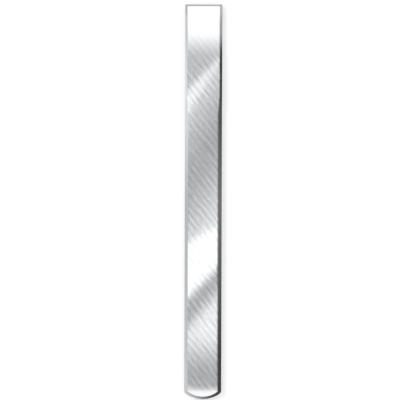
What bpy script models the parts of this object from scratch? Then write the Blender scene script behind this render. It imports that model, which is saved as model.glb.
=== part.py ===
"""A flat-bar osteotome: the bone chisel that a surgeon drives with a mallet.

It is one piece of stainless steel, lying on one of its two broad faces. X runs across
the bar, +Y towards the cutting edge and +Z up through the thickness. The origin is under
the middle of the bar, on the surface that it rests on. All sizes are in metres.

The bar is one section carried round its outline. At each station of the outline the
section says how tall the upright side is, how broad the chamfer is and how high the
broad face stands. Those three come from three lines along the bar.
"""

from math import atan2, cos, pi, radians, sin, sqrt, tan

import bmesh
import bpy
import numpy as np
from mathutils import Vector

# The bar
LENGTH = 0.170
WIDTH = 0.016
THICKNESS = 0.004
HANDLE_CHAMFER = 0.0015  # breadth and depth of the chamfer along the handle and round the head
LEAST_SIDE = 0.0004  # a deep chamfer stops where this much of the upright side is left

# The cutting end, ground alike from both broad faces. Places are measured from the cutting edge.
CUTTING_LAND = 0.00015  # thickness that is left at the cutting edge
HONED_LENGTH = 0.0008
HONED_THICKNESS = 0.0007  # of the bar, where the honed edge meets the bevel
BEVEL_LENGTH = 0.010
BEVEL_THICKNESS = 0.0025  # of the bar, where the bevel meets the taper
BEVEL_BLEND = 0.003  # reach of the soft change of slope, each way
TAPER_LENGTH = 0.030
TAPER_BLEND = 0.010  # reach of the soft change of slope, each way

# The chamfer along the blade is narrower. The handle's runs out into it just before the taper.
BLADE_CHAMFER = 0.0010
RUN_OUT_LENGTH = 0.008
EDGE_SIDE = 0.00005  # upright side that the chamfers leave at the cutting edge

# The striking end, bowed in plan, with both broad faces falling away to it
HEAD_BOW = 0.0029  # how far the middle of the end stands out past its two corners
HEAD_CORNER = 0.0017  # radius of the corners, seen from above
LEAST_CORNER = 0.00015  # radius that the broad face keeps there, inside the chamfer
CROWN_LENGTH = 0.0042
CROWN_DROP = 0.00045  # of each broad face, at the middle of the end
CROWN_BREAK = radians(4.5)  # angle at which the crown leaves the flat face

# How fine the round stretches are, in straight steps
BOW_STEPS = 24
CORNER_STEPS = 8
BEND_STEPS = 16
BEVEL_STEPS = 8
CROWN_STEPS = 4
MEETING_STEPS = 12  # tries at the place where the chamfer meets the crown
LEAST_STEP = 0.00005  # stations along a side that are nearer than this become one


def clear_scene():
    for old in list(bpy.data.objects):
        bpy.data.objects.remove(old, do_unlink=True)


def stainless_steel():
    """Satin-ground surgical stainless steel."""
    steel = bpy.data.materials.new("stainless_steel")
    steel.use_nodes = True
    shader = steel.node_tree.nodes["Principled BSDF"]
    shader.inputs["Base Color"].default_value = (0.72, 0.73, 0.74, 1.0)
    shader.inputs["Metallic"].default_value = 1.0
    shader.inputs["Roughness"].default_value = 0.28
    steel.diffuse_color = (0.72, 0.73, 0.74, 1.0)
    steel.metallic = 1.0
    steel.roughness = 0.28
    return steel


def steps(start, end, count):
    """Evenly spaced values, both ends included."""
    return [start + (end - start) * i / count for i in range(count + 1)]


def bend(start, corner, end):
    """A parabola that leaves start towards corner and reaches end from corner."""
    shares = steps(0, 1, BEND_STEPS)
    return [start * (1 - t) ** 2 + corner * 2 * t * (1 - t) + end * t**2 for t in shares]


def soften(before, corner, after, reach):
    """The bend that takes the place of a corner, no longer than half of either leg."""
    back, ahead = before - corner, after - corner
    reach = min(reach, back.length / 2, ahead.length / 2)
    return bend(corner + reach * back.normalized(), corner, corner + reach * ahead.normalized())


def line_along_bar(points):
    """A height or breadth for any place along the bar, from (distance, value) points.

    Distances are from the cutting edge, and places are given as y.
    """
    distances, values = zip(*points)
    return lambda y: float(np.interp(LENGTH / 2 - y, distances, values))


def face_line():
    """Half the thickness: the honed edge, the bevel, the taper, the flat face, the crown."""
    cutting_edge = Vector((0, CUTTING_LAND / 2))
    honed_end = Vector((HONED_LENGTH, HONED_THICKNESS / 2))
    bevel_end = Vector((BEVEL_LENGTH, BEVEL_THICKNESS / 2))
    taper_end = Vector((TAPER_LENGTH, THICKNESS / 2))
    crown_start = Vector((LENGTH - CROWN_LENGTH, THICKNESS / 2))
    crown_middle = crown_start + CROWN_LENGTH / 2 * Vector((1, -tan(CROWN_BREAK)))
    crown_end = Vector((LENGTH, THICKNESS / 2 - CROWN_DROP))
    return line_along_bar([
        cutting_edge,
        honed_end,
        *soften(honed_end, bevel_end, taper_end, BEVEL_BLEND),
        *soften(bevel_end, taper_end, crown_start, TAPER_BLEND),
        *bend(crown_start, crown_middle, crown_end),
    ])


def handle_chamfer():
    return min(HANDLE_CHAMFER, (THICKNESS - LEAST_SIDE) / 2)


def chamfer_line():
    """Breadth of the chamfer, even along the blade and even along the handle."""
    blade_end = TAPER_LENGTH + TAPER_BLEND
    return line_along_bar([
        (blade_end, BLADE_CHAMFER),
        (blade_end + RUN_OUT_LENGTH, handle_chamfer()),
    ])


def side_line():
    """Half the height of the upright side, which the chamfers leave.

    At the cutting edge it comes down with the bevel, so there the chamfers lie flatter.
    """
    blade_end = TAPER_LENGTH + TAPER_BLEND
    return line_along_bar([
        (0, EDGE_SIDE / 2),
        (BEVEL_LENGTH, max(BEVEL_THICKNESS / 2 - BLADE_CHAMFER, EDGE_SIDE / 2)),
        (TAPER_LENGTH, THICKNESS / 2 - BLADE_CHAMFER),
        (blade_end, THICKNESS / 2 - BLADE_CHAMFER),
        (blade_end + RUN_OUT_LENGTH, THICKNESS / 2 - handle_chamfer()),
    ])


def side_places(head_corner_y):
    """Where sections are taken along a side: at each corner of the lines, round each bend,
    and down the bevel, where the chamfers turn flatter.
    """
    distances = [
        0,
        *steps(HONED_LENGTH, BEVEL_LENGTH - BEVEL_BLEND, BEVEL_STEPS),
        *steps(BEVEL_LENGTH - BEVEL_BLEND, BEVEL_LENGTH + BEVEL_BLEND, BEND_STEPS),
        *steps(TAPER_LENGTH - TAPER_BLEND, TAPER_LENGTH + TAPER_BLEND, BEND_STEPS),
        TAPER_LENGTH + TAPER_BLEND + RUN_OUT_LENGTH,
        *steps(LENGTH - CROWN_LENGTH, LENGTH / 2 - head_corner_y, CROWN_STEPS),
    ]
    places = [LENGTH / 2]
    for distance in sorted(distances):
        place = LENGTH / 2 - distance
        if places[-1] - place > LEAST_STEP and place - head_corner_y > LEAST_STEP:
            places.append(place)
    return places


def right_rim():
    """The outline's right half, from the cutting edge to the middle of the head.

    Each station is a point and the direction that leads inwards from it. The corner's
    circle touches the side from within, and the circle of the bowed end too.
    """
    bow_radius = (WIDTH**2 / 4 + HEAD_BOW**2) / (2 * HEAD_BOW)
    bow_centre = Vector((0, bow_radius - LENGTH / 2))
    across = WIDTH / 2 - HEAD_CORNER
    along = sqrt((bow_radius - HEAD_CORNER) ** 2 - across**2)
    corner_centre = bow_centre + Vector((across, -along))
    joint_angle = atan2(-along, across)

    def on_circle(centre, radius, turn):
        outward = Vector((cos(turn), sin(turn)))
        return centre + radius * outward, -outward

    side = [(Vector((WIDTH / 2, y)), Vector((-1, 0))) for y in side_places(corner_centre.y)]
    corner = [
        on_circle(corner_centre, HEAD_CORNER, turn)
        for turn in steps(0, joint_angle, CORNER_STEPS)
    ]
    bow = [
        on_circle(bow_centre, bow_radius, turn)
        for turn in steps(joint_angle, -pi / 2, BOW_STEPS)
    ]
    return side + corner + bow[1:]


def section(rim, inward, face, chamfer, side):
    """The four points of the section at a station: lower face, side's two ends, upper face.

    On the crown the chamfer stays at 45 degrees, so it is as broad as the face stands above
    the side where the two meet. That place is found by trying the last breadth again.
    """
    breadth = chamfer(rim.y)
    if rim.y < CROWN_LENGTH - LENGTH / 2:
        for _ in range(MEETING_STEPS):
            face_above_side = face((rim + breadth * inward).y) - side(rim.y)
            breadth = min(face_above_side, HEAD_CORNER - LEAST_CORNER)
    border = rim + breadth * inward
    half_face, half_side, middle = face(border.y), side(rim.y), THICKNESS / 2
    return [
        (border.x, border.y, middle - half_face),
        (rim.x, rim.y, middle - half_side),
        (rim.x, rim.y, middle + half_side),
        (border.x, border.y, middle + half_face),
    ]


def mirrored(points):
    return [(-x, y, z) for x, y, z in points]


def osteotome():
    """The sections joined round the rim, with straight strips across both broad faces."""
    lines = face_line(), chamfer_line(), side_line()
    right = [section(rim, inward, *lines) for rim, inward in right_rim()]
    left = [mirrored(points) for points in right[:-1]]
    form = bmesh.new()
    right = [[form.verts.new(point) for point in points] for points in right]
    left = [[form.verts.new(point) for point in points] for points in left] + [right[-1]]

    for rim in (right, left):
        for here, there in zip(rim, rim[1:]):
            for low, high in ((0, 1), (1, 2), (2, 3)):
                form.faces.new((here[low], here[high], there[high], there[low]))
    for face in (0, 3):
        rows = [(a[face], b[face]) for a, b in zip(right, left)]
        for (a, b), (c, d) in zip(rows, rows[1:-1]):
            form.faces.new((a, b, d, c))
        form.faces.new((*rows[-2], rows[-1][0]))
    form.faces.new((*right[0], *reversed(left[0])))
    bmesh.ops.recalc_face_normals(form, faces=form.faces)

    mesh = bpy.data.meshes.new("osteotome")
    form.to_mesh(mesh)
    form.free()
    mesh.shade_smooth()
    mesh.set_sharp_from_angle(angle=radians(10))
    mesh.materials.append(stainless_steel())
    bar = bpy.data.objects.new("osteotome", mesh)
    bpy.context.scene.collection.objects.link(bar)


clear_scene()
osteotome()
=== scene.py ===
# %% [markdown]
# # A flat-bar osteotome
# An osteotome is a bone chisel. This pattern is one bar of stainless steel: a broad, thin
# blade at one end, a bowed and crowned head for the mallet at the other, and a chamfer along
# each long edge so that it sits well in the hand. It lies on one broad face, with its cutting
# edge towards +Y.
#
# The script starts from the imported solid, which it calls the frame. The frame gives the
# sizes and the place, and everything made here has to fit it.

# %% Load the frame
from math import atan2, pi, radians, sqrt, tan

import bmesh
import bpy
import numpy as np
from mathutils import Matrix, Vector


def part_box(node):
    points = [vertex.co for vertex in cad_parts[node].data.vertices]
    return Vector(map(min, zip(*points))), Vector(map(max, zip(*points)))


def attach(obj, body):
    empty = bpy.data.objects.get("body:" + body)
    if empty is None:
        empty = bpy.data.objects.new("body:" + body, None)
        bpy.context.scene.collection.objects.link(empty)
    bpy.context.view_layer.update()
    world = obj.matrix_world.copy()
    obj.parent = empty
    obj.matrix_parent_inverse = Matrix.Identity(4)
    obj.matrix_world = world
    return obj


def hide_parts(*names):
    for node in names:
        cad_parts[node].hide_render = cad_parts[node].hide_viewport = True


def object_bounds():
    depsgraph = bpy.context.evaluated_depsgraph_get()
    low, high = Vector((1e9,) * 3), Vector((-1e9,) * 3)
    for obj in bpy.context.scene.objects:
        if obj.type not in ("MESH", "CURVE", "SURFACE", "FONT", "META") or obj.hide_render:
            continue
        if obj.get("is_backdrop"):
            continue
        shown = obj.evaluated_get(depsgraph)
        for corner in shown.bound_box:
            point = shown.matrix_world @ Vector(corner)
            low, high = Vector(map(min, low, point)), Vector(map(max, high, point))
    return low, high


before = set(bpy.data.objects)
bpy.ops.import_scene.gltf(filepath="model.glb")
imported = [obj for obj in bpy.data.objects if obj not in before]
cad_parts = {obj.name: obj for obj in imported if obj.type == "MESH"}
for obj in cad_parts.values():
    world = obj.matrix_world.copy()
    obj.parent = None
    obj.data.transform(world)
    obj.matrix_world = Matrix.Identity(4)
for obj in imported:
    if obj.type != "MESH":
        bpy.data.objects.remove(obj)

solid_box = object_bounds()
low, high = (np.array(corner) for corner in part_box("osteotome"))
width, length, thickness = (float(side) for side in high - low)
print(f"The bar is {1000 * length:.0f} x {1000 * width:.0f} x {1000 * thickness:.0f} mm")

# %% [markdown]
# ## Soft corners
# Polished steel shows a kink as a hard line in its reflections, so each corner of this bar
# is replaced by a bend. A bend could be a piece of a circle, but then a centre and a radius
# have to be found for every corner. A parabola through two tangents needs only the corner
# and the points where it starts and ends, and it leaves one line and joins the next with no
# kink.


# %% Bends
def bend(start, corner, end, steps=64):
    """Parabola: start, corner and end weighted by (1-t)^2, 2t(1-t) and t^2, t from 0 to 1.

    The three are single points, or rows of points that are all bent at once.
    """
    t = np.linspace(0, 1, steps + 1).reshape(-1, *[1] * np.ndim(start))
    return start * (1 - t) ** 2 + corner * 2 * t * (1 - t) + end * t**2


def soften(before, corner, after, reach):
    """The bend that replaces a corner, from reach before it to reach after it.

    It takes no more than half of the line on either side.
    """
    back, ahead = before - corner, after - corner
    reach = min(reach, np.linalg.norm(back) / 2, np.linalg.norm(ahead) / 2)
    start = corner + reach * back / np.linalg.norm(back)
    end = corner + reach * ahead / np.linalg.norm(ahead)
    return bend(start, corner, end)


trial = bend(np.array([0, 1]), np.array([0, 0]), np.array([1, 0]), steps=2)
print(f"A square corner of 1 by 1 bends past {trial[1, 0]:.2f}, {trial[1, 1]:.2f}")

# %% [markdown]
# ## The side view
# Seen from its side the bar is a chain of straight lines: the honed edge, the bevel, the
# taper, the flat face and the crown. Only the upper half is needed, because the lower half
# is its mirror image. The chain could be drawn point by point. It is built instead from the
# lengths and thicknesses that a toolmaker would write down, with a bend at each corner. The
# corner of the honed edge is crisp on the real blade, and its bend is tiny.

# %% The height of the broad face along the bar
cutting_land = 0.00015
honed_length, honed_thickness, honed_blend = 0.0008, 0.0007, 0.00012
bevel_length, bevel_thickness, bevel_blend = 0.010, 0.0025, 0.003
taper_length, taper_blend = 0.030, 0.010
crown_length, crown_drop, crown_break = 0.0042, 0.00045, radians(4.5)


def face_chain():
    """(distance from the cutting edge, half thickness), as far as the middle of the head."""
    edge = np.array([0, cutting_land / 2])
    honed_end = np.array([honed_length, honed_thickness / 2])
    bevel_end = np.array([bevel_length, bevel_thickness / 2])
    taper_end = np.array([taper_length, thickness / 2])
    crown_start = np.array([length - crown_length, thickness / 2])
    crown_middle = crown_start + crown_length / 2 * np.array([1, -tan(crown_break)])
    crown_end = np.array([length, thickness / 2 - crown_drop])
    return np.vstack([
        edge,
        soften(edge, honed_end, bevel_end, honed_blend),
        soften(honed_end, bevel_end, taper_end, bevel_blend),
        soften(bevel_end, taper_end, crown_start, taper_blend),
        bend(crown_start, crown_middle, crown_end),
    ])


face_line = face_chain()


def face_height(y):
    """Height of the broad face above the middle of the thickness, read off the chain."""
    return np.interp(length / 2 - y, face_line[:, 0], face_line[:, 1])


for from_edge in (0, 0.8, 10, 22, 44, 100):
    half = 1000 * face_height(length / 2 - from_edge / 1000)
    print(f"{from_edge} mm from the cutting edge the bar is {2 * half:.2f} mm thick")

# %% [markdown]
# ## The chamfers
# The handle has a broad chamfer at 45 degrees. Just before the taper it runs out into a
# narrower one, which keeps its breadth along the blade. The blade thins under it, so the
# upright side falls towards the cutting edge, and there the chamfer lies flatter and
# flatter until it is a thin bright line beside the bevel.
#
# It could be cut off a plain bar with a slanting block, once for each stretch. Two lines
# along the bar say all of it at once: how broad the chamfer is from above, and how high the
# upright side stands. They are straight between a few places, which is what a grinder's
# fixed rest gives.

# %% Breadth of the chamfer and height of the side
handle_chamfer, blade_chamfer = 0.0015, 0.0010
run_out_length = 0.008
edge_side = 0.00005
blade_end = taper_length + taper_blend
handle_start = blade_end + run_out_length


def chamfer_breadth(y):
    """Even along the blade and along the handle, and straight between the two."""
    places = (blade_end, handle_start)
    return np.interp(length / 2 - y, places, (blade_chamfer, handle_chamfer))


def side_height(y):
    """Half the height of the upright side, straight between the places named here."""
    places = (0, bevel_length, taper_length, blade_end, handle_start)
    heights = (
        edge_side / 2,
        bevel_thickness / 2 - blade_chamfer,
        thickness / 2 - blade_chamfer,
        thickness / 2 - blade_chamfer,
        thickness / 2 - handle_chamfer,
    )
    return np.interp(length / 2 - y, places, heights)


for from_edge in (0, 5, 10, 30, 44, 100):
    y = length / 2 - from_edge / 1000
    rise, run = face_height(y) - side_height(y), chamfer_breadth(y)
    slope = np.degrees(np.arctan2(rise, run))
    print(f"{from_edge} mm from the edge the chamfer is {1000 * run:.2f} mm at {slope:.0f} degrees")

# %% [markdown]
# ## The outline from above
# The sides are parallel and the cutting edge is square to them. The head is bowed: a wide
# arc with a small round corner at each side. A curve object could be bent to this outline.
# But each point of the rim also needs the direction that leads inwards from it, so that the
# chamfer can be measured square to the rim all the way round. On a circle that direction
# points at the centre, so the head is worked out from its circles. The corner's circle
# touches the straight side and the wide arc from within.

# %% The rim round the head
head_bow, head_corner = 0.0029, 0.0017
corner_points, bow_points = 11, 61
bow_radius = (width**2 / 4 + head_bow**2) / (2 * head_bow)
bow_centre = np.array([0, bow_radius - length / 2])
across = width / 2 - head_corner
along = sqrt((bow_radius - head_corner) ** 2 - across**2)
corner_centre = bow_centre + np.array([across, -along])
joint_angle = atan2(-along, across)


def head_rim():
    """Rim points and inward directions round the head, from the right side to the left.

    A point is its circle's centre plus the radius times (cos, sin) of its turn, and the
    inward direction is minus that (cos, sin).
    """
    corner_turns = np.linspace(0, joint_angle, corner_points)
    bow_turns = np.linspace(joint_angle, -pi - joint_angle, bow_points)[1:-1]
    turns = np.concatenate([corner_turns, bow_turns, -pi - corner_turns[::-1]])
    counts = [corner_points, bow_points - 2, corner_points]
    centres = np.repeat([corner_centre, bow_centre, corner_centre * (-1, 1)], counts, axis=0)
    radii = np.repeat([head_corner, bow_radius, head_corner], counts)
    outward = np.stack([np.cos(turns), np.sin(turns)], axis=1)
    return centres + radii[:, None] * outward, -outward


head_points, head_inward = head_rim()
print(f"The head is an arc of radius {1000 * bow_radius:.1f} mm, in {len(head_points)} points")

# %% [markdown]
# Along the sides, even steps would either miss the bends of the blade or waste most of
# their points on the plain handle. So the stations lie close together where the section
# changes quickly, and far apart where it doesn't.

# %% Stations along the sides
crown_rows = 13
crown_start_y = crown_length - length / 2
honed_start, honed_stop = honed_length - honed_blend, honed_length + honed_blend


def stretches(*ends_and_steps):
    """Values from the first end to the last, evenly spaced within each stretch."""
    ends, steps = ends_and_steps[0::2], ends_and_steps[1::2]
    runs = [np.linspace(a, b, n, endpoint=False) for a, b, n in zip(ends, ends[1:], steps)]
    return np.concatenate([*runs, [ends[-1]]])


# Places measured from the cutting edge, with the number of steps between them.
blade_y = length / 2 - stretches(
    0, 4, honed_start, 6, honed_stop, 24, bevel_length - bevel_blend, 36,
    bevel_length + bevel_blend, 56, blade_end, 16, handle_start, 70, length - crown_length,
)
crown_y = np.linspace(crown_start_y, corner_centre[1], crown_rows)
side_y = np.concatenate([blade_y, crown_y[1:]])
print(f"Each side has {len(side_y)} stations")

# %% [markdown]
# ## The rim
# Round the rim the section climbs from the middle of the upright side over the chamfer to
# the broad face. A polished edge on a real bar is never a perfect line, and the glint along
# it is much of what makes steel look like steel, so both corners are eased.
#
# A Bevel modifier would round the corners of a plain solid, but with one width everywhere.
# Here the section is worked out for each station instead, so the easing can follow the
# chamfer: slight at the sharp blade and the head, and generous on the handle, where hands and
# polishing wheels have been. A soft wheel leans over the border of the broad face and rolls
# it down a little, but it hardly touches the chamfer. So the face bends gently until it has a
# small share of the chamfer's slope, and the corner that is left between them stays tight.

# %% How far the corners are eased
side_easing = 0.00009
largest_easing = 0.45  # of the upright side or of the chamfer, where these are short
corner_easing = 0.02  # of the corner beside the face, as a share of the chamfer's breadth
blade_easing, handle_easing = 0.45, 0.60  # onto the face, as shares too
easing_slope = 0.15  # of the rolled border where it meets the chamfer, as a share of its slope
easing_change = 0.006


def face_easing(y):
    """Slight along the blade and at the head, generous on the handle, and straight between."""
    crown_start = length - crown_length
    places = (blade_end, handle_start, crown_start - easing_change, crown_start)
    shares = (blade_easing, handle_easing, handle_easing, blade_easing)
    return np.interp(length / 2 - y, places, shares)


for name, y in (("blade", length / 2 - bevel_length), ("handle", 0)):
    rolled = 1000 * chamfer_breadth(y) * face_easing(y)
    print(f"On the {name} the rolled border of the face is {rolled:.2f} mm broad")

# %% [markdown]
# At the head the broad face falls away under the chamfer, which stays at 45 degrees. Where
# they meet depends on both, and the crown is a curve, so the place isn't solved for. It is
# found by going back and forth between the two until nothing changes any more.

# %% Where the chamfer meets the face
meeting_tries = 12
least_chamfer = 0.00003


def breadth_at(rim, inward):
    """How far inwards the chamfer reaches from each station.

    On the crown that is the height of the face where they meet, less the side's height.
    """
    y = rim[:, 1]
    breadth = chamfer_breadth(y)
    for _ in range(meeting_tries):
        above_side = face_height(y + breadth * inward[:, 1]) - side_height(y)
        breadth = np.where(y < crown_start_y, np.maximum(above_side, least_chamfer), breadth)
    return breadth


head_breadth = breadth_at(head_points, head_inward)
print(f"Round the head the chamfer is {1000 * head_breadth.min():.2f} mm broad at its narrowest")

# %% [markdown]
# The section itself is a few straight runs with a bend between them. It could be worked out
# for one station after the other. Doing it for all stations at once takes the same few
# lines and no loop: each point of the section is then a whole row of points round the rim.
#
# It has one known flaw. Round the small corners of the head the rolled border reaches
# further in than the corner's radius. There the rows cross, and the skin folds over itself
# in a sliver of about 1.2 by 0.4 mm. A border that stays shorter than the radius at these
# corners would avoid it.


# %% The section at every station
def rows_between(start, end, shares):
    """Straight rows from start to end, one for each share of the way."""
    shares = np.asarray(shares)[:, None, None]
    return start + (end - start) * shares


def rim_band(rim, inward):
    """The upper half of the band, as rows of (x, y, z) from the middle of the side.

    In the plane that stands square to the rim, the section is: up the side, round the
    first corner, up the chamfer, round the second corner, and up the rolled border to the
    face. That border is a parabola, and its two tangents meet halfway along it. Its lower
    tangent has the share s (easing_slope) of the chamfer's slope, so the line meets the
    chamfer lower than the face does, and further out by half the border's reach times
    s / (1 - s).
    """
    breadth = breadth_at(rim, inward)
    side = side_height(rim[:, 1])
    top = face_height(rim[:, 1] + breadth * inward[:, 1])
    slant = np.hypot(breadth, top - side)
    low_reach = np.minimum(side_easing, largest_easing * np.minimum(side, slant))
    half_reach = breadth * face_easing(rim[:, 1]) / 2
    further_out = half_reach * easing_slope / (1 - easing_slope)
    corner_at = slant * (1 - further_out / breadth)
    inner = breadth + 2 * half_reach

    def place(depth, height):
        return np.column_stack([rim + depth[:, None] * inward, height])

    def on_chamfer(reach):
        return place(breadth * reach / slant, side + (top - side) * reach / slant)

    on_rim = np.zeros(len(rim))
    middle, side_corner = place(on_rim, on_rim), place(on_rim, side)
    side_end, chamfer_start = place(on_rim, side - low_reach), on_chamfer(low_reach)
    corner, chamfer_end = on_chamfer(corner_at), on_chamfer(corner_at - corner_easing * breadth)
    face_start = place(inner, face_height(rim[:, 1] + inner * inward[:, 1]))
    tangents_meet = (place(breadth, top) + face_start) / 2
    border_start = corner + (tangents_meet - corner) * corner_easing
    return np.concatenate([
        rows_between(middle, side_end, [0, 0.5]),
        bend(side_end, side_corner, chamfer_start, steps=5),
        rows_between(chamfer_start, chamfer_end, [0.25, 0.5, 0.75]),
        bend(chamfer_end, corner, border_start, steps=3)[:-1],
        bend(border_start, tangents_meet, face_start, steps=8),
    ])


head_band = rim_band(head_points, head_inward)
print(f"The section has {len(head_band)} points")

# %% [markdown]
# The section is then carried down the right side, round the head and up the left side. A
# Curve with a profile would turn it by itself, but it can't change the profile on its way.

# %% The band round the rim
right_rim = np.column_stack([np.full(len(side_y), width / 2), side_y])
left_rim = right_rim[::-1] * (-1, 1)
all_rim = np.vstack([right_rim[:-1], head_points, left_rim[1:]])
all_inward = np.vstack([
    np.tile([-1.0, 0.0], (len(side_y) - 1, 1)),
    head_inward,
    np.tile([1.0, 0.0], (len(side_y) - 1, 1)),
])
upper_band = rim_band(all_rim, all_inward)
print(f"The rim band has {upper_band.shape[0]} rows of {upper_band.shape[1]} points")

# %% [markdown]
# ## The broad faces
# One large polygon would do for the flat part of a broad face, but not for the taper and
# the crown. So a face is a sheet of straight rows across the bar. Past the line where the
# crown begins, the rows turn step by step from that line into the bow of the head, so that
# the sheet ends exactly on the rim band. The height of every point comes from the side view.


# %% The sheet inside the band
def face_sheet(inner_row):
    """Rows of (x, y, z) from the cutting edge to the head, from the right side to the left.

    Along the bar x runs evenly from side to side. On the crown a row is the mix of the
    straight line at its start and the bow at its end, stretched to meet the sides.
    """
    sides, bar_rows, columns = len(side_y), len(blade_y), len(head_points)
    reach_x = inner_row[:sides, 0]
    spread = np.linspace(1, -1, columns)
    bar_x = reach_x[:bar_rows, None] * spread
    bar_y = np.repeat(blade_y[:, None], columns, axis=1)

    bow = inner_row[sides - 1 : sides - 1 + columns, :2]
    line = np.column_stack([reach_x[bar_rows - 1] * spread, np.full(columns, crown_start_y)])
    share = np.linspace(0, 1, sides - bar_rows + 1)[1:, None, None]
    crown = line + (bow - line) * share
    stretch = reach_x[bar_rows:] / crown[:, 0, 0]
    x = np.vstack([bar_x, crown[:, :, 0] * stretch[:, None]])
    y = np.vstack([bar_y, crown[:, :, 1]])
    return np.stack([x, y, face_height(y)], axis=2)


upper_face = face_sheet(upper_band[-1])
print(f"Each broad face has {upper_face.shape[0]} rows of {upper_face.shape[1]} points")

# %% [markdown]
# ## The land at the cutting edge
# The real edge is honed down to a few hundredths of a millimetre. The solid ends in a flat
# land that is a little broader, and the skin keeps to it. A cap of one polygon could fill
# the gap, but its points have to be the ones that the faces and the band end on. So it is a
# strip from the upper outline of this end to its mirror image.

# %% The strip that closes the end
mirror = np.array([1, 1, -1])


def cutting_end():
    """Two rows of (x, y, z) from right to left: the end's upper outline and its mirror image."""
    right, left = upper_band[:, 0], upper_band[::-1, -1]
    upper = np.vstack([right, upper_face[0, 1:-1], left])
    return np.stack([upper, upper * mirror])


end_strip = cutting_end()
print(f"The strip at the cutting edge has {end_strip.shape[0]} rows of {end_strip.shape[1]} points")

# %% [markdown]
# ## One closed skin
# The bar is forged and ground from one piece, so its skin is one surface with nothing open.
# The sheets could stay separate objects that touch, but light leaks through such joints and
# a mesh with open borders has no inside. So the two faces, the band with its mirror image
# and the strip at the cutting edge are stitched where their borders meet.

# %% Join the sheets and the band
merge_distance = 1e-6  # under the smallest step between points that stay apart


def grid_faces(rows, columns, first):
    """Four-sided faces between neighbouring rows and columns, counted from first."""
    at = first + np.arange(rows * columns).reshape(rows, columns)
    corners = [at[:-1, :-1], at[:-1, 1:], at[1:, 1:], at[1:, :-1]]
    return np.stack(corners, axis=-1).reshape(-1, 4)


def closed_surface(name, grids):
    """One mesh from several grids of points, with shared borders merged and faces out."""
    mesh = bpy.data.meshes.new(name)
    starts = np.cumsum([0] + [grid.shape[0] * grid.shape[1] for grid in grids])
    points = np.vstack([grid.reshape(-1, 3) for grid in grids])
    faces = np.vstack([grid_faces(*grid.shape[:2], at) for grid, at in zip(grids, starts)])
    mesh.from_pydata((points + (0, 0, thickness / 2)).tolist(), [], faces.tolist())

    form = bmesh.new()
    form.from_mesh(mesh)
    bmesh.ops.remove_doubles(form, verts=form.verts, dist=merge_distance)
    bmesh.ops.recalc_face_normals(form, faces=form.faces)
    open_edges = sum(not edge.is_manifold for edge in form.edges)
    form.to_mesh(mesh)
    volume = form.calc_volume()
    form.free()
    mesh.shade_smooth()
    print(f"{name}: {len(mesh.polygons)} faces, {open_edges} open edges, {1e6 * volume:.2f} cm3")
    return mesh


whole_band = np.concatenate([(upper_band * mirror)[:0:-1], upper_band])
grids = [upper_face, upper_face * mirror, whole_band, end_strip]
surface = closed_surface("osteotome_bar", grids)
bar = bpy.data.objects.new("osteotome_bar", surface)
bpy.context.scene.collection.objects.link(bar)

# %% [markdown]
# ## The steel
# The bar is ground, not mirror polished. A belt is drawn across the broad faces at a slant,
# and each grain of grit leaves a fine groove, so the faces carry a slanting grain with
# broader, softer streaks in it. The cutting bevel, the chamfers, the sides and the crown
# are finished last, on a finer wheel, and are brighter and smoother.
#
# A picture of brushed metal stretched over the bar would blur close up and would need a
# map of the surface. Here the grain is noise that is stretched along the grinding
# direction. It is worked out from the place on the object, so it is sharp at any distance
# and needs no map. A number on each point of the surface says how much of the slanting
# grain the place has.

# %% Where the slanting grain is
grain_start, grain_full = 0.008, 0.034  # from the cutting edge
crown_change = 0.0008
under_face = (-0.0002, -0.00002)  # from no grain to all of it, by height
from_side = (0.0001, 0.0004)  # the same, by distance from the bar's side


def smooth_step(value, start, end):
    """Goes from 0 at start to 1 at end as 3t^2 - 2t^3, with t the share of the way."""
    t = np.clip((value - start) / (end - start), 0, 1)
    return t * t * (3 - 2 * t)


def grain_share(points):
    """1 on the broad faces, and near 0 on the bevel, the crown, the chamfers and the sides.

    It is the product of four steps: past the bevel, short of the crown, up on the face, and
    in from the rim.
    """
    x, y, z = points.T
    past_bevel = smooth_step(length / 2 - y, grain_start, grain_full)
    short_of_crown = smooth_step(y, crown_start_y - crown_change, crown_start_y + crown_change)
    on_face = smooth_step(np.abs(z - thickness / 2) - face_height(y), *under_face)
    from_rim = smooth_step(width / 2 - np.abs(x), *from_side)
    return past_bevel * short_of_crown * on_face * from_rim


def points_of(mesh):
    """Every point of a mesh, as rows of (x, y, z)."""
    flat = np.empty(3 * len(mesh.vertices), dtype=np.float32)
    mesh.vertices.foreach_get("co", flat)
    return flat.reshape(-1, 3).astype(float)


def store(mesh, name, values):
    """Keep one number for each point of a mesh, for a material to read."""
    kept = mesh.attributes.new(name, "FLOAT", "POINT")
    kept.data.foreach_set("value", np.asarray(values, dtype=np.float32))


share = grain_share(points_of(surface))
store(surface, "grain_share", share)
print(f"The mean share of slanting grain over all points is {100 * share.mean():.0f}%")

# %% [markdown]
# A material is a tree of nodes, and every node needs its kind, its settings and its links.
# Clicked together or written out one by one, the same three lines would come back all the
# time. A few short helpers let the cells below say only what a pattern is made of.


# %% Helpers for materials
def material(name):
    """A new material, with its node tree and its Principled shader."""
    made = bpy.data.materials.new(name)
    made.use_nodes = True
    return made, made.node_tree, made.node_tree.nodes["Principled BSDF"]


def node(tree, kind, links=None, **settings):
    """A node with its settings, and with sockets linked or given a value by name or number."""
    made = tree.nodes.new(kind)
    for name, value in settings.items():
        setattr(made, name, value)
    for socket, value in (links or {}).items():
        if isinstance(value, bpy.types.NodeSocket):
            tree.links.new(value, made.inputs[socket])
        else:
            made.inputs[socket].default_value = value
    return made


def mapped(tree, value, from_low, from_high, to_low, to_high):
    """The value carried from one range to another, held at the ends."""
    return node(tree, "ShaderNodeMapRange", {
        "Value": value, "From Min": from_low, "From Max": from_high,
        "To Min": to_low, "To Max": to_high,
    }).outputs["Result"]


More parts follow.
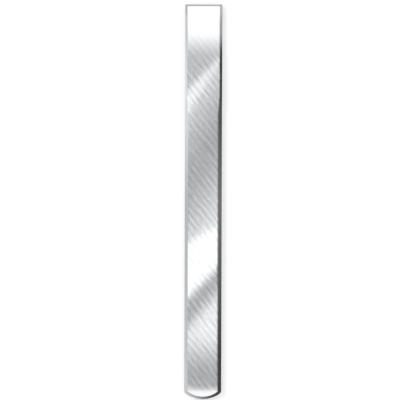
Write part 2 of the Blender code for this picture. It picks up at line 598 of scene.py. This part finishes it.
def math_of(tree, operation, first, second):
    """One number from two, such as their product."""
    return node(tree, "ShaderNodeMath", {0: first, 1: second}, operation=operation).outputs[0]


def product(tree, first, second):
    """first times second."""
    return math_of(tree, "MULTIPLY", first, second)


def sum_of(tree, *values):
    """All the values added up."""
    total, *rest = values
    for value in rest:
        total = math_of(tree, "ADD", total, value)
    return total


steel, tree, shader = material("ground_steel")
shader.inputs["Metallic"].default_value = 1
place = node(tree, "ShaderNodeTexCoord").outputs["Object"]
share_here = node(tree, "ShaderNodeAttribute", attribute_name="grain_share").outputs["Fac"]
print(f"{steel.name} starts with {len(tree.nodes)} nodes")

# %% [markdown]
# ## The grain
# Three scales lie over each other on the broad faces: hair lines from single grains of
# grit, wider lines where the belt loaded up, and soft bands a little over 2 mm apart where
# the belt's joint beats as it runs. Both kinds of line are noise, squeezed across the grain
# and drawn out along it. Wave textures would be quicker, but their lines never end, and a
# real stroke does.

# %% Streaks along the grain
grain_slant = radians(-52)  # from +X, seen from above
noise_low, noise_high = 0.3, 0.7  # where nearly all of the noise's values lie


def turned_to(tree, place, slant, shift=0.0):
    """The place with its first axis turned to the slant, shifted to tell patterns apart."""
    return node(tree, "ShaderNodeMapping", {
        "Vector": place, "Rotation": (0, 0, -slant), "Location": (shift, shift / 2, 0),
    }, vector_type="POINT").outputs["Vector"]


def streaks(tree, place, slant, pitch, run, detail, shift):
    """Noise about pitch wide and run long, from -0.5 to 0.5, with its long way at the slant."""
    spaced = node(tree, "ShaderNodeMapping", {
        "Vector": turned_to(tree, place, slant, shift),
        "Scale": (1 / run, 1 / pitch, 1 / pitch),
    }, vector_type="POINT").outputs["Vector"]
    noise = node(tree, "ShaderNodeTexNoise", {
        "Vector": spaced, "Scale": 1, "Detail": detail, "Roughness": 0.6,
    }, noise_dimensions="3D").outputs["Fac"]
    return mapped(tree, noise, noise_low, noise_high, -0.5, 0.5)


hair = streaks(tree, place, grain_slant, pitch=0.00016, run=0.006, detail=3, shift=0.11)
line = streaks(tree, place, grain_slant, pitch=0.00090, run=0.0024, detail=2, shift=0.37)
print(f"The hair lines and the wider lines bring it to {len(tree.nodes)} nodes")

# %% [markdown]
# The bands are a sine across the grain. A plain sine would look ruled, so its phase drifts
# slowly and its strength comes and goes, while the bands stay parallel.

# %% Bands across the grain
belt_pitch = 0.00235
phase_drift = 2.2
band_strengths = (-0.2, 1.6)


def belt_bands(tree, place):
    """Sine across the grain, 2 pi a pitch, with a slow drift of phase and of strength."""
    across_grain = node(tree, "ShaderNodeSeparateXYZ", {
        0: turned_to(tree, place, grain_slant)}).outputs["Y"]
    drift = streaks(tree, place, grain_slant, pitch=0.0060, run=0.015, detail=1, shift=0.73)
    steady_phase = product(tree, across_grain, 2 * pi / belt_pitch)
    phase = sum_of(tree, steady_phase, product(tree, drift, phase_drift))
    sine = node(tree, "ShaderNodeMath", {0: phase}, operation="SINE").outputs[0]
    patches = streaks(tree, place, grain_slant, pitch=0.0026, run=0.0042, detail=2, shift=0.91)
    return product(tree, sine, mapped(tree, patches, -0.5, 0.5, *band_strengths))


belt = belt_bands(tree, place)
print(f"The bands are {1000 * belt_pitch:.2f} mm apart")

# %% [markdown]
# The bevel, the chamfers and the crown were finished on a fine wheel that turns along the
# bar, so their hair lines run lengthwise and are far fainter. Two materials could meet on a
# line there. But where one finish stops and the other starts is never sharp on a real bar,
# so the two patterns are mixed by the number that the surface keeps.

# %% Mix the patterns
hair_weight, line_weight, belt_weight, wheel_weight = 0.20, 0.40, 0.34, 0.22
wheel_slant = radians(90)
wheel_hair = streaks(tree, place, wheel_slant, pitch=0.00012, run=0.005, detail=2, shift=0.23)
slanting = sum_of(
    tree,
    product(tree, hair, hair_weight),
    product(tree, line, line_weight),
    product(tree, belt, belt_weight),
)
bare_share = math_of(tree, "SUBTRACT", 1.0, share_here)
lengthwise = product(tree, product(tree, wheel_hair, wheel_weight), bare_share)
grain = sum_of(tree, product(tree, slanting, share_here), lengthwise)
print(f"With the patterns mixed there are {len(tree.nodes)} nodes")

# %% [markdown]
# ## The finish
# The steel itself is one colour. What the eye sees as light and dark grain is the tilt and
# the roughness of the grooves. A relief alone would need grooves that are too fine for the
# picture, so the same pattern drives three things, each a little: the tone, the roughness,
# and a relief of a few thousandths of a millimetre. The relief also has a wide, shallow
# wave in it, because a face that is ground by hand is never quite flat.

# %% Finish of the whole bar
darkest_steel, lightest_steel = (0.58, 0.59, 0.60, 1), (0.84, 0.85, 0.86, 1)
polished_roughness, ground_roughness, grain_roughness = 0.13, 0.15, 0.06
wave_weight = 3.0
relief_height = 0.000008

tone = node(tree, "ShaderNodeValToRGB", {"Fac": sum_of(tree, grain, 0.5)})
tone.color_ramp.elements[0].color = darkest_steel
tone.color_ramp.elements[1].color = lightest_steel
tree.links.new(tone.outputs["Color"], shader.inputs["Base Color"])

polish = mapped(tree, share_here, 0, 1, polished_roughness, ground_roughness)
roughness = sum_of(tree, polish, product(tree, grain, grain_roughness))
tree.links.new(roughness, shader.inputs["Roughness"])

hand_wave = streaks(tree, place, grain_slant, pitch=0.009, run=0.030, detail=1, shift=0.59)
relief = node(tree, "ShaderNodeBump", {
    "Height": sum_of(tree, grain, product(tree, hand_wave, wave_weight)),
    "Strength": 1.0, "Distance": relief_height,
})
tree.links.new(relief.outputs["Normal"], shader.inputs["Normal"])
surface.materials.append(steel)
print(f"The finished material has {len(tree.nodes)} nodes")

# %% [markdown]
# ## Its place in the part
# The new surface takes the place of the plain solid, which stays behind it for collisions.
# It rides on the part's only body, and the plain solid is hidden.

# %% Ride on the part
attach(bar, "root")
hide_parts("osteotome")
print(f"{bar.name} rides on root in place of the solid")

# %% [markdown]
# ## The camera
# The bar is shown square on, as in a catalogue, so the camera hangs straight above it. It
# could be an orthographic camera, but a long lens from far away looks nearly the same and
# keeps a trace of real depth. Its reach is worked out from how many of the picture's 400
# pixels the bar takes up. It is moved sideways until the bar lies where it should, and
# turned a little, because the bar in the picture leans a little.

# %% Camera
picture_width = 400
bar_pixels = 394.8
bar_middle_pixel = (203.3, 201.8)
bar_turn = radians(0.18)  # the bar's top leans this much to the right in the picture
picture_scale = length / bar_pixels
camera_distance = 1.2
eye = bpy.data.cameras.new("camera")
eye.sensor_width = 36
eye.lens = eye.sensor_width * camera_distance / (picture_width * picture_scale)
camera = bpy.data.objects.new("camera", eye)
camera_x = (picture_width / 2 - bar_middle_pixel[0]) * picture_scale
camera_y = (bar_middle_pixel[1] - picture_width / 2) * picture_scale
camera.location = (camera_x, camera_y, camera_distance + thickness / 2)
camera.rotation_euler.z = bar_turn
bpy.context.scene.collection.objects.link(camera)
bpy.context.scene.camera = camera
bpy.context.scene.view_settings.view_transform = "Standard"
print(f"One pixel is {1000 * picture_scale:.3f} mm, and the lens is {eye.lens:.0f} mm")

# %% [markdown]
# ## The floor
# The bar lies on white paper, which has to look white to the camera and in the steel, and
# still take a soft shadow. White paint under bright lamps would do that too, but the lamps
# would burn out the steel. So the paper is a light grey diffuse sheet that also glows a
# little, for the camera's rays and for reflected ones only, which lights nothing else.

# %% Floor
floor_reach = 3
paper_grey, paper_glow = 0.70, 0.34


def stage_sheet(name, rows, glow):
    """A mesh from a grid of points, put on the stage with its material."""
    rows = np.asarray(rows, dtype=float)
    mesh = bpy.data.meshes.new(name)
    mesh.from_pydata(rows.reshape(-1, 3).tolist(), [], grid_faces(*rows.shape[:2], 0).tolist())
    mesh.materials.append(glow)
    made = bpy.data.objects.new(name, mesh)
    bpy.context.scene.collection.objects.link(made)
    made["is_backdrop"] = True
    return made


def paper(colour, glow):
    """Diffuse paper that also glows, for camera rays and reflected rays."""
    made, tree, shader = material("paper")
    output = tree.nodes["Material Output"]
    tree.nodes.remove(shader)
    ray = node(tree, "ShaderNodeLightPath")
    seen = math_of(tree, "MAXIMUM", ray.outputs["Is Camera Ray"], ray.outputs["Is Glossy Ray"])
    lit = node(tree, "ShaderNodeBsdfDiffuse", {"Color": (colour, colour, colour, 1)})
    own = node(tree, "ShaderNodeEmission", {"Strength": product(tree, seen, glow)})
    both = node(tree, "ShaderNodeAddShader", {0: lit.outputs[0], 1: own.outputs[0]})
    tree.links.new(both.outputs[0], output.inputs["Surface"])
    return made


ends = (-floor_reach, floor_reach)
floor_rows = [[(x, y, 0) for x in ends] for y in ends]
floor = stage_sheet("floor", floor_rows, paper(paper_grey, paper_glow))
print(f"The {floor.name} is {2 * floor_reach} m square")

# %% [markdown]
# ## The light sheet above the bar
# Steel shows what stands around it, and from above a flat face shows only what hangs right
# over it. A studio hangs a sheet there with strips of light on it. Strips that lie aslant
# give the bar its slanting bright bands, a wide one over the bevel keeps the blade bright,
# and a short one does the same for the crown. Between them the sheet is grey. Towards its
# right border it turns dark little by little, and so does the face's rolled border below it.
#
# Lamps behind real diffusers would need many samples to come out smooth. A glowing mesh
# that only reflections can see gives the same picture of itself and leaves the shadows
# alone. It hangs low, so that the satin finish blurs the strips' edges just a little.
#
# To say where a strip shows on the bar, the sheet is laid out by what the camera sees
# mirrored in the bar: the distance from the cutting edge, and the place across it.

# %% Where the sheet hangs
sheet_height = 0.032
left_places, right_places = (0.016, 0.034), (0.012, 0.026)
left_reaches, right_reaches = (-0.015, -0.030), (0.011, 0.028)  # at those places
before_edge, past_head = 0.008, 0.006
sheet_step, sheet_columns = 0.0005, 41
slope_step = 0.0002


def slope_of_face(y):
    """How much the broad face falls for each metre towards the cutting edge.

    Over the tiny honed edge it stays what it is on the bevel beside it.
    """
    within = np.clip(y, -length / 2 + slope_step, length / 2 - 2 * honed_length)
    fall = face_height(within - slope_step) - face_height(within + slope_step)
    return fall / (2 * slope_step)


def mirrored(x, y):
    """The place on the sheet that the camera sees mirrored at (x, y) on the bar.

    A level face sends the camera's ray back up at the slant that it came down at, and a
    face that tips by the angle a turns it by 2a more.
    """
    stretch = 1 + sheet_height / camera_distance
    thrown = sheet_height * np.tan(2 * np.arctan(slope_of_face(y)))
    return camera_x + (x - camera_x) * stretch, camera_y + (y - camera_y) * stretch + thrown


seen_from_edge = np.arange(-before_edge, length + past_head, sheet_step)
shares_across = np.linspace(0, 1, sheet_columns)
from_edge, share_across = np.meshgrid(seen_from_edge, shares_across, indexing="ij")
sheet_left = np.interp(from_edge, left_places, left_reaches)
sheet_right = np.interp(from_edge, right_places, right_reaches)
seen_across = sheet_left + (sheet_right - sheet_left) * share_across
sheet_x, sheet_y = mirrored(seen_across, length / 2 - from_edge)
sheet_z = np.full(sheet_x.shape, sheet_height + thickness)
sheet_rows = np.stack([sheet_x, sheet_y, sheet_z], axis=2)
print(f"The sheet has {sheet_rows.shape[0]} rows of {sheet_rows.shape[1]} points")

# %% [markdown]
# Each strip comes in softly along one leaning line and goes out softly along another. The
# soft ones are laid first: they are the dim light that spills round a bright strip. The
# sheet could also be painted as a picture, but then a strip couldn't be moved by one number.

# %% Strips on the sheet
plain_grey = 0.57
dark_level, dark_start, dark_end = 0.13, 0.0080, 0.0165
mark_across = 0.0070  # from the middle of the face to its left and right marks

# Each strip is a level, a start and an end. Those two are (place, fade, lean) in millimetres:
# half faded at this distance from the cutting edge, faded over this length, and leaning by
# this much from the left mark to the right one. A fourth number is a bow: how much nearer
# to the cutting edge the line lies at both marks than in the middle.
soft_strips = (
    (0.71, (-30, 1, 0), (55, 22, 20)),
    (0.86, (35, 6, 20), (45, 9, 20)),
    (1.06, (87, 44, 20), (111, 8, 20)),
)
bright_strips = (
    (1.52, (-30, 1, 0), (16.5, 14, 0)),
    (1.30, (30, 1.5, 14.5), (36, 4, 22)),
    (1.52, (98.8, 5, 8), (119.5, 6, 14)),
    (1.21, (131.5, 10, 16), (149, 20, 0)),
    (1.36, (166.0, 2.2, 0, 0.45), (200, 1, 0)),
)


def faded_in(place, fade, lean, bow=0):
    """0 before a leaning line and 1 after it.

    It is a smooth step of the distance from the edge, sheared by the place across, and
    bowed by its square. Past the marks the line goes straight across.
    """
    place_across = np.clip(seen_across, -mark_across, mark_across) / mark_across
    sheared = 1000 * from_edge + lean * place_across / 2 + bow * place_across**2
    return smooth_step(sheared, place - fade / 2, place + fade / 2)


sheet_levels = np.full(from_edge.shape, plain_grey)
for strip_level, start, end in (*soft_strips, *bright_strips):
    strip_share = faded_in(*start) * (1 - faded_in(*end))
    sheet_levels += (strip_level - sheet_levels) * strip_share
sheet_levels += (dark_level - sheet_levels) * smooth_step(seen_across, dark_start, dark_end)
print(f"Its light goes from {sheet_levels.min():.2f} to {sheet_levels.max():.2f}")

# %% [markdown]
# The sheet glows by the numbers stored on its points. A lamp can be hidden from the camera
# but it lights everything else. A mesh can be hidden from everything but reflections, as a
# card is that a photographer holds just outside the picture.


# %% Hang the sheet
def glow_by(name, attribute):
    """A material that only glows, as strongly as a number stored on the points says."""
    made, tree, shader = material(name)
    output = tree.nodes["Material Output"]
    tree.nodes.remove(shader)
    level = node(tree, "ShaderNodeAttribute", attribute_name=attribute).outputs["Fac"]
    glow = node(tree, "ShaderNodeEmission", {"Strength": level})
    tree.links.new(glow.outputs[0], output.inputs["Surface"])
    return made


def only_in_reflections(card):
    """Hide a card from the camera, from shadows and from diffuse light."""
    card.visible_camera = False
    card.visible_diffuse = False
    card.visible_shadow = False
    card.visible_transmission = False
    card.visible_volume_scatter = False


sheet_card = stage_sheet("light_sheet", sheet_rows, glow_by("sheet_glow", "level"))
store(sheet_card.data, "level", sheet_levels.ravel())
only_in_reflections(sheet_card)
print(f"The sheet hangs {1000 * sheet_height:.0f} mm above the bar")

# %% [markdown]
# ## The low cards round the bar
# The chamfers face outwards, so from above they show what stands low beside the bar. A
# photographer puts a white card on one side and a black one on the other, and the bar
# gets a bright edge and a dark edge that give it depth. Two flat cards would leave a gap
# at the head, so here one low wall runs down one side, round the head and up the other.
# Its foot lies out on the floor. Beside the blade it is taller, because there the chamfers
# lie flatter and look higher up.

# %% The wall's path and section
path_half_width, path_head_y = 0.004, -0.077
wall_foot, wall_away, wall_lift, wall_top = 0.020, 0.060, 0.0003, 0.014
head_turns = 25

# Along a side: the distance from the cutting edge, and the height of the wall there.
side_marks = np.array([-0.006, 0.007, 0.011, 0.015, 0.020, 0.040, 0.085, 0.150])
side_tops = np.array([0.034, 0.034, 0.030, 0.022, 0.014, 0.014, 0.014, 0.014])


def outward_at(turns):
    """The direction that has turned from +X by this much, clockwise seen from above."""
    return np.column_stack([np.cos(turns), -np.sin(turns)])


def wall_rows():
    """A path round the sides and the head, and the section carried along it.

    The section lies on the floor and then stands up as a low wall. Each point of the path
    goes outwards along its own direction, so the wall fans out round the head. It gives
    the rows of points, and the angle by which each direction has turned from the right.
    """
    turns = np.radians(np.linspace(0, 180, head_turns))
    head = np.array([0, path_head_y]) + path_half_width * outward_at(turns)
    side = np.column_stack([np.full(len(side_marks), path_half_width), length / 2 - side_marks])
    path = np.vstack([side, head, side[::-1] * (-1, 1)])
    along_side = np.zeros(len(side))
    turns = np.concatenate([along_side, turns, along_side + pi])
    tops = np.concatenate([side_tops, np.full(head_turns, wall_top), side_tops[::-1]])
    lift = np.full(len(path), wall_lift)
    foot, away = path + wall_foot * outward_at(turns), path + wall_away * outward_at(turns)
    section = ((foot, lift), (away, lift), (away, tops))
    return np.array([np.column_stack(row) for row in section]), np.degrees(turns)


rows, turned_by = wall_rows()
print(f"The low wall stands {1000 * wall_away:.0f} mm out and {1000 * wall_top:.0f} mm high")

# %% [markdown]
# The wall goes from dark at the right to light at the left on its way round the head, and
# it is less dark beside the blade, where the chamfers should stay grey. A dark card and a
# light one would meet on a hard line. One wall that glows by the numbers stored on its
# points, as the sheet does, can change as slowly as it has to.

# %% The wall's light
# Round the head, the level goes by the turn from the right side, in degrees.
wall_turns = (0, 60, 75, 90, 105, 130, 180)
wall_levels = (0.05, 0.05, 0.12, 0.28, 0.55, 0.75, 0.80)
# Along the sides, there is one level for each mark.
left_levels = np.array([0.80, 0.80, 0.84, 0.90, 0.95, 1.05, 0.66, 0.74])
right_levels = np.array([0.50, 0.46, 0.30, 0.05, 0.03, 0.07, 0.21, 0.05])

wall = stage_sheet("dark_to_light_wall", rows, glow_by("wall_glow", "level"))
level = np.interp(turned_by, wall_turns, wall_levels)
level[: len(right_levels)] = right_levels
level[-len(left_levels) :] = left_levels[::-1]
store(wall.data, "level", np.tile(level, len(rows)))
only_in_reflections(wall)
print(f"Its light goes from {level.min():.2f} to {level.max():.2f}")

# %% [markdown]
# ## The room
# Past the cards, the steel reflects the room. A photographed room wrapped round the scene
# would show windows and furniture in the steel, so the room is worked out from the height
# of the ray alone. The camera sees plain white behind the paper's edge. Reflected rays see
# white at the horizon and grey overhead, like walls lit from below a dim ceiling, which
# keeps the steel readable from any side. All other rays get an even level a little below
# 1, the soft light that fills the shadow.

# %% World
fill_level = 0.86
sky_heights, sky_levels = (0.04, 0.35, 0.80), (1.0, 0.70, 0.60)
world = bpy.data.worlds.new("studio")
bpy.context.scene.world = world
world.use_nodes = True
tree = world.node_tree
ray = node(tree, "ShaderNodeLightPath")
direction = node(tree, "ShaderNodeTexCoord").outputs["Generated"]
height = node(tree, "ShaderNodeSeparateXYZ", {0: direction}).outputs["Z"]
near_horizon = mapped(tree, height, *sky_heights[:2], *sky_levels[:2])
overhead = mapped(tree, height, *sky_heights[1:], 0, sky_levels[2] - sky_levels[1])
sky = sum_of(tree, near_horizon, overhead)
for_rays = node(tree, "ShaderNodeMix", {
    "Factor": ray.outputs["Is Glossy Ray"], "A": fill_level, "B": sky})
for_camera = node(tree, "ShaderNodeMix", {
    "Factor": ray.outputs["Is Camera Ray"], "A": for_rays.outputs[0], "B": 1.0})
tree.links.new(for_camera.outputs[0], tree.nodes["Background"].inputs["Strength"])
tree.nodes["Background"].inputs["Color"].default_value = (1, 1, 1, 1)
print(f"The room lights the shadow at a level of {fill_level}")

# %% [markdown]
# ## The lamp
# A soft shadow on the right shows how the bar lies on the paper. An area lamp would do, but
# its shadow changes with its distance. A broad sun from the upper left gives an even one.
# It isn't seen in the steel, where it would be a hot spot.

# %% Lamp
lamp_turns = (radians(-22), radians(-38), 0)  # from straight down, round X and then round Y
lamp = bpy.data.lights.new("key", "SUN")
lamp.energy = 0.7
lamp.angle = radians(25)
key = bpy.data.objects.new("key", lamp)
key.visible_glossy = False
key.rotation_euler = lamp_turns
bpy.context.scene.collection.objects.link(key)
print(f"The lamp's strength is {lamp.energy:.1f}")

# %% [markdown]
# ## The size
# The dressed bar must fill the same box as the plain solid. Both boxes are printed, so
# that they can be compared.

# %% Size
visual_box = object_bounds()
print("Solid and visual boxes in mm:")
for box in (solid_box, visual_box):
    print("  ", [[round(1000 * float(value), 2) for value in corner] for corner in box])
